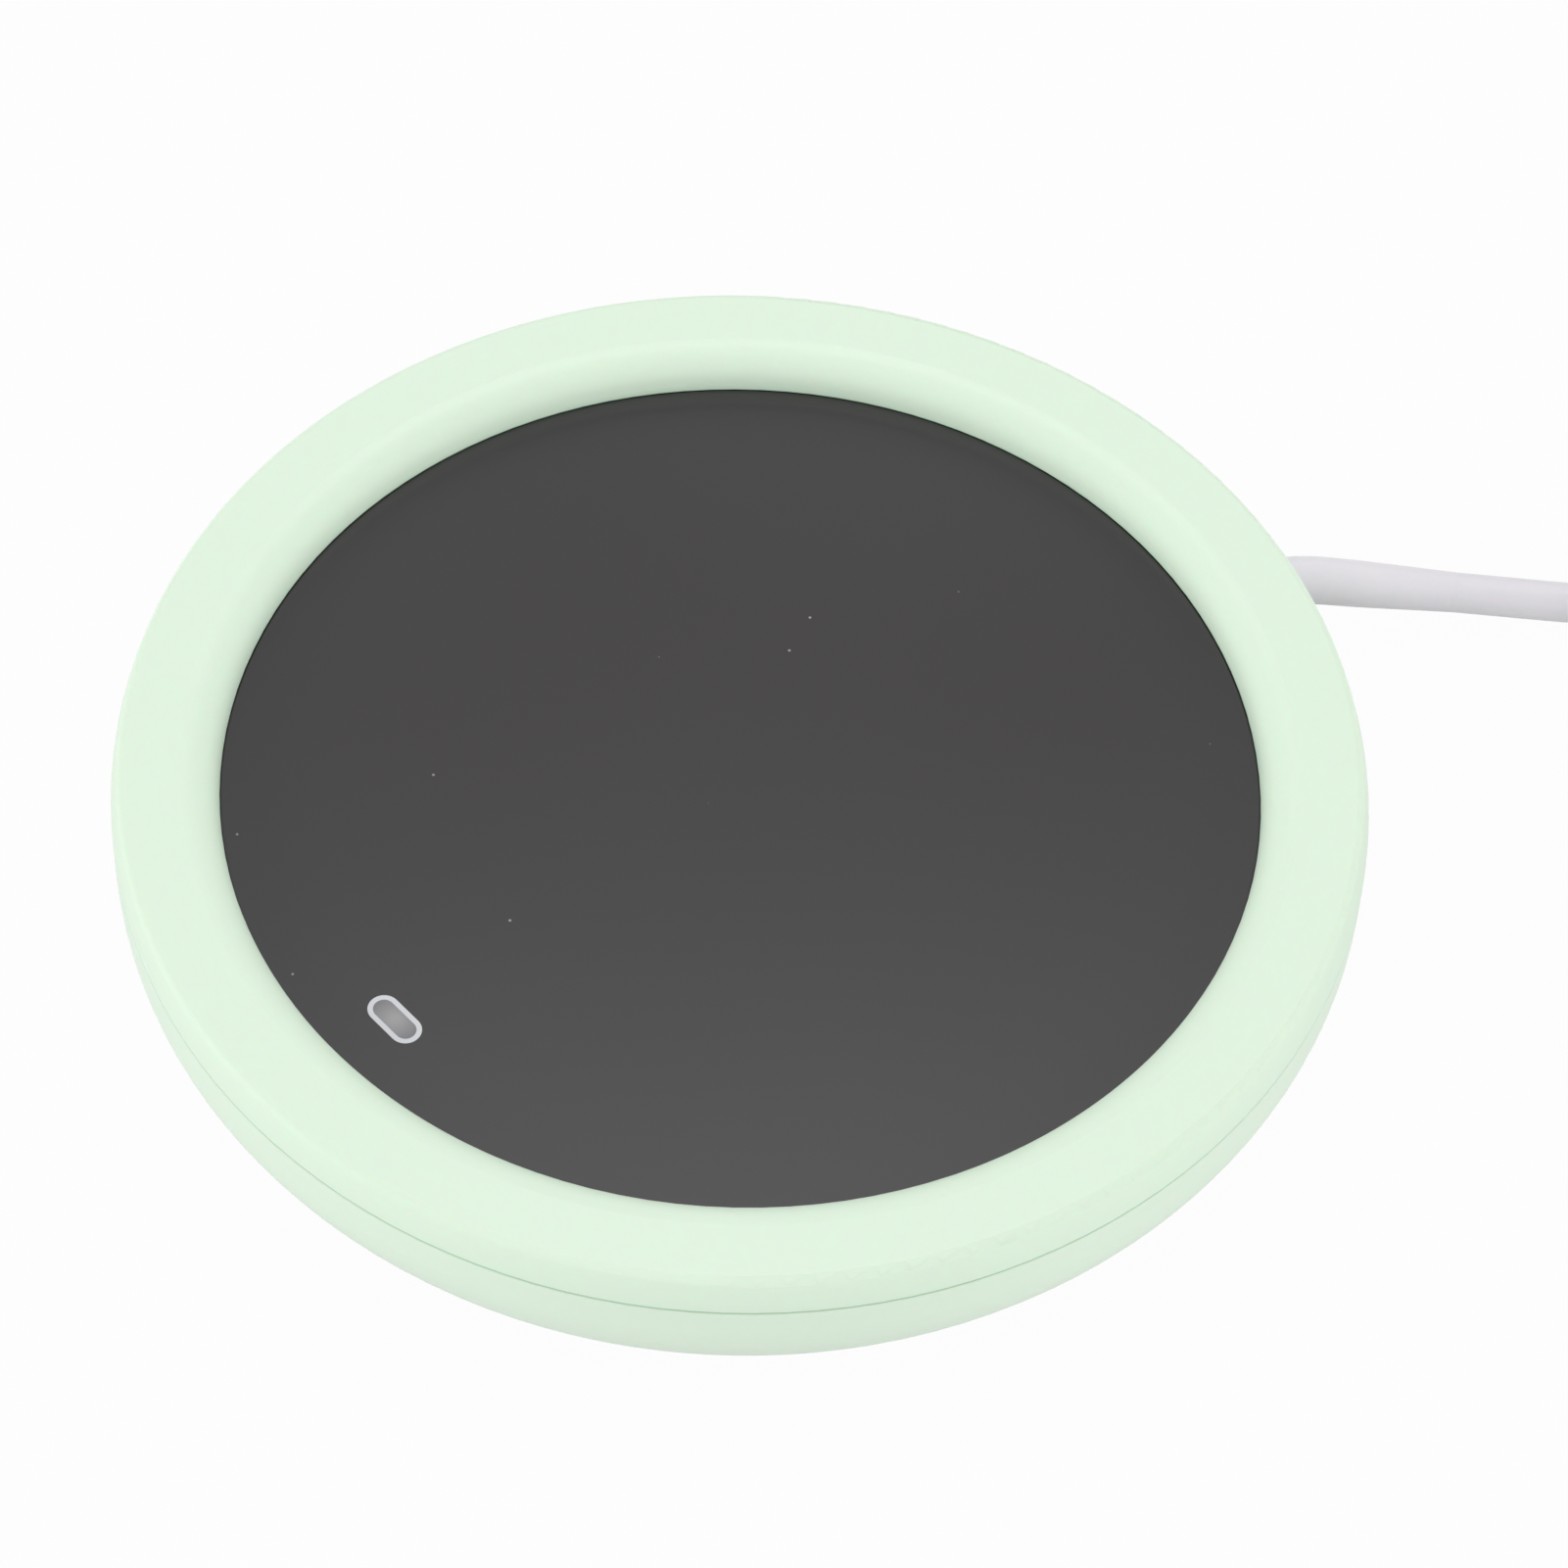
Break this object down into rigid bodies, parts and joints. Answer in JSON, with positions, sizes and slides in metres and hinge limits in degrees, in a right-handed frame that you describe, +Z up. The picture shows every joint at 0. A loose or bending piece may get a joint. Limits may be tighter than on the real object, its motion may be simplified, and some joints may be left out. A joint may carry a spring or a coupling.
{
  "type": "mug warmer",
  "caption": "Low round desk warmer for a mug: white case, recessed dark heating panel with a pill-shaped touch window, rubber feet, and a thin lead with a strain relief and plug.",
  "frame": {"origin": "the case's axis on the surface that the feet stand on", "axes": "+Z up along the case's axis, +Y away from the user, +X to the user's right; the lead leaves between +X and +Y, and the touch window is between -X and -Y"},
  "size_m": [0.2101, 0.1264, 0.02],
  "materials": {
    "ring_plastic": "white plastic with a faint green tint, satin gloss",
    "shell_plastic": "white plastic with a faint green tint, satin gloss",
    "panel_glass": "dark grey coated glass, satin",
    "gasket": "black adhesive gasket",
    "white_ink": "white printed line",
    "window": "frosted clear resin",
    "aluminium_sheet": "rolled sheet",
    "polyimide": "amber film",
    "etched_foil": "etched alloy foil",
    "insulation": "off-white glass fibre felt",
    "steel_plate": "zinc plated",
    "screw_steel": "zinc plated",
    "foot_rubber": "grey rubber",
    "board": "green solder mask",
    "black_epoxy": "black moulding compound",
    "tinned_metal": "tinned",
    "capacitor": "yellow moulded case",
    "resistor": "black film",
    "connector_plastic": "white nylon",
    "lamp": "white lamp body",
    "clear_guide": "clear acrylic",
    "touch_foam": "conductive foam",
    "bead": "brown epoxy bead",
    "thin_lead": "yellow sleeving",
    "fuse_metal": "bright case",
    "heat_lead": "white silicone",
    "supply_wire": "red sleeving",
    "cord_jacket": "soft white jacket",
    "clamp_plastic": "white nylon",
    "relief_plastic": "soft white moulding",
    "tie": "black plastic band",
    "plug_plastic": "white moulding, satin",
    "plug_metal": "nickel plated",
    "plug_tongue": "white tongue",
    "contact_metal": "gold plated"
  },
  "bodies": {
    "root": {"top_ring": "ring_plastic", "bottom_shell": "shell_plastic", "heating_panel": "panel_glass", "panel_gasket": "gasket", "indicator_outline": "white_ink", "indicator_window": "window", "heat_spreader": "aluminium_sheet", "heater_film": "polyimide", "heater_track": "etched_foil", "insulation_pad": "insulation", "clamp_plate": "steel_plate", "clamp_screws": "screw_steel", "case_screws": "screw_steel", "rubber_feet": "foot_rubber", "control_board": "board", "board_screws": "screw_steel", "controller_chip": "black_epoxy", "controller_legs": "tinned_metal", "power_switch": "black_epoxy", "filter_capacitor": "capacitor", "resistors": "resistor", "board_connectors": "connector_plastic", "indicator_lamp": "lamp", "light_guide": "clear_guide", "touch_sleeve": "touch_foam", "thermistor": "bead", "thermistor_leads": "thin_lead", "thermal_fuse": "fuse_metal", "heater_leads": "heat_lead", "supply_wires": "supply_wire", "cord_inner_end": "cord_jacket", "cord_clamp": "clamp_plastic", "cord_clamp_screws": "screw_steel", "strain_relief": "relief_plastic", "power_cord": "cord_jacket", "cord_coil": "cord_jacket", "cord_tie": "tie", "plug_body": "plug_plastic", "plug_shell": "plug_metal", "plug_tongue": "plug_tongue", "plug_contacts": "contact_metal"}
  },
  "joints": []
}
